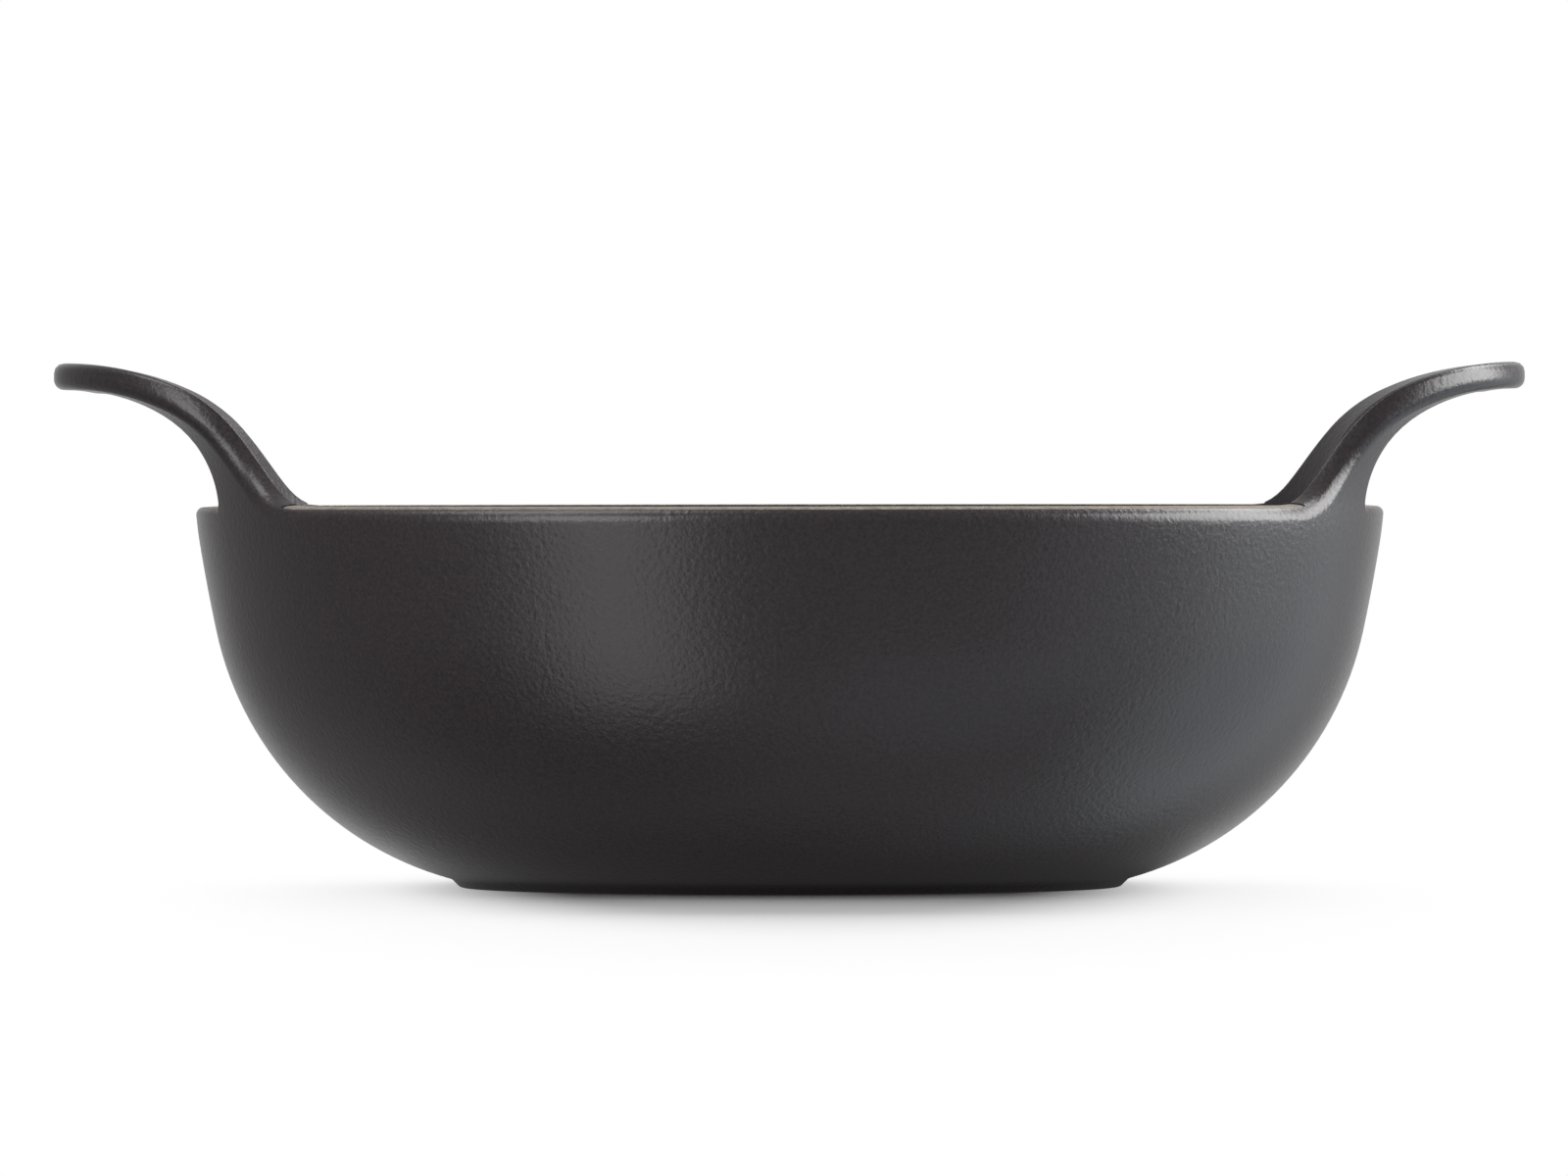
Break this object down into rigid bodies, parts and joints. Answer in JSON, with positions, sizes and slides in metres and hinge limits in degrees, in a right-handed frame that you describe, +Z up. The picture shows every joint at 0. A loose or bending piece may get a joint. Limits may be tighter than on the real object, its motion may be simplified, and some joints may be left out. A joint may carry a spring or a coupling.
{
  "type": "balti dish",
  "caption": "Round-bellied enamelled cast-iron balti dish on a low foot, its rim sweeping up at either side into a flared loop handle.",
  "frame": {"origin": "middle of the foot's flat under side, on the surface that the dish stands on", "axes": "+Z up, +X towards the right handle as the picture shows it, +Y away from the viewer"},
  "size_m": [0.3112, 0.2502, 0.1107],
  "materials": {
    "cast_iron": "bare grey-brown iron, ground smooth on the rim and under the foot",
    "satin_enamel": "satin charcoal-black vitreous enamel with a fine orange-peel surface",
    "matt_enamel": "matt black vitreous enamel, slightly grainy"
  },
  "bodies": {
    "root": {"bowl": "cast_iron", "left_handle": "cast_iron", "right_handle": "cast_iron", "exterior_enamel": "satin_enamel", "left_handle_enamel": "satin_enamel", "right_handle_enamel": "satin_enamel", "interior_enamel": "matt_enamel"}
  },
  "joints": []
}
